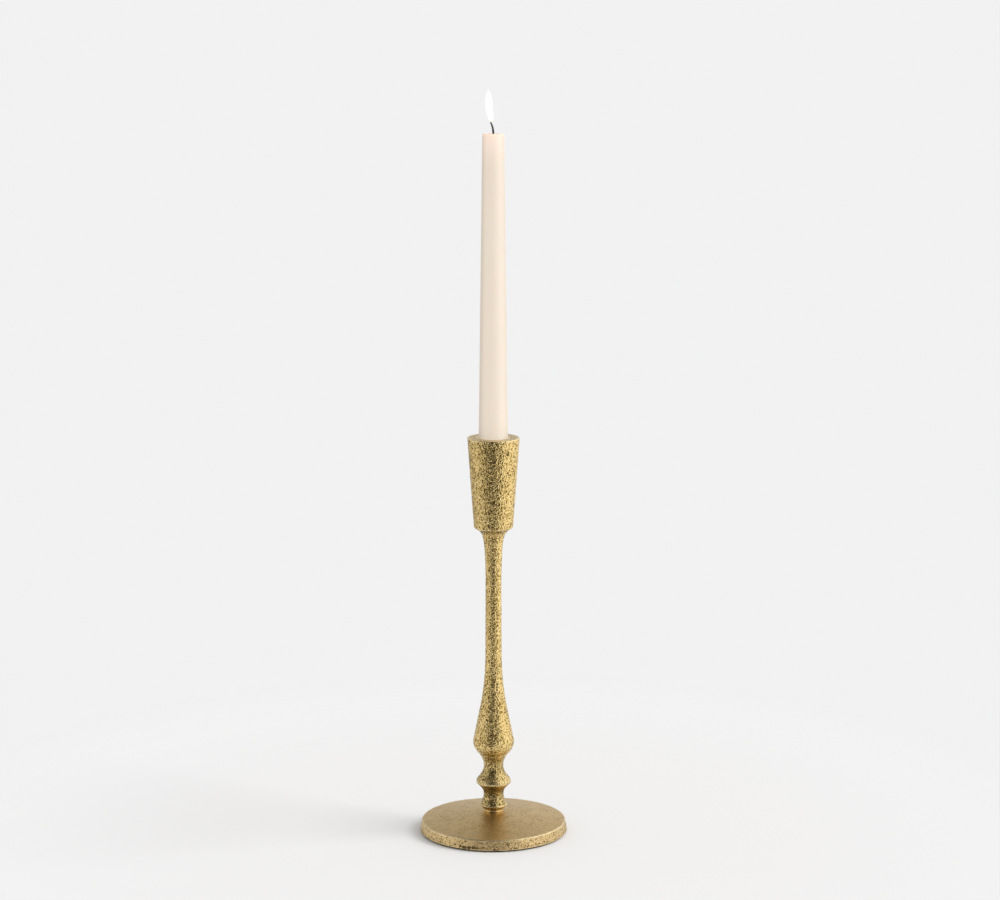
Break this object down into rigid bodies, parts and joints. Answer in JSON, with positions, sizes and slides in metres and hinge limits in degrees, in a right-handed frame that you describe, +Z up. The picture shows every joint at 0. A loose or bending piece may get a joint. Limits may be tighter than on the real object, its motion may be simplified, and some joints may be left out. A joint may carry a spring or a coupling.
{
  "type": "candlestick",
  "caption": "Cast brass candlestick with a domed round base, turned knop, slender stem and tapered cup that holds a lift-out taper candle.",
  "frame": {"origin": "centre of the felt's underside, on the surface that the candlestick stands on", "axes": "+Z up along the candlestick's axis; the wick's burnt tip leans towards -X"},
  "size_m": [0.112, 0.112, 0.5396],
  "materials": {
    "cast_brass": "antique brass, sand-cast grain, satin with darkened pits",
    "bright_brass": "turned brass, semi-polished",
    "steel": "zinc-plated",
    "felt": "pressed wool felt, charcoal",
    "wax": "ivory wax, satin, slightly translucent",
    "wick": "braided cotton, charred at the tip"
  },
  "bodies": {
    "candlestick": {"base_disc": "cast_brass", "felt_pad": "felt", "base_screw": "steel", "lock_washer": "steel", "flat_washer": "steel", "foot_ring": "bright_brass", "lower_knop": "cast_brass", "lower_stud": "steel", "stem": "cast_brass", "upper_stud": "steel", "candle_cup": "cast_brass"},
    "candle": {"candle_wax": "wax", "wick": "wick"}
  },
  "joints": [
    {"name": "candle_lift", "type": "slide", "parent": "candlestick", "child": "candle", "axis": [0, 0, 1], "range_m": [0, 0.04]}
  ]
}
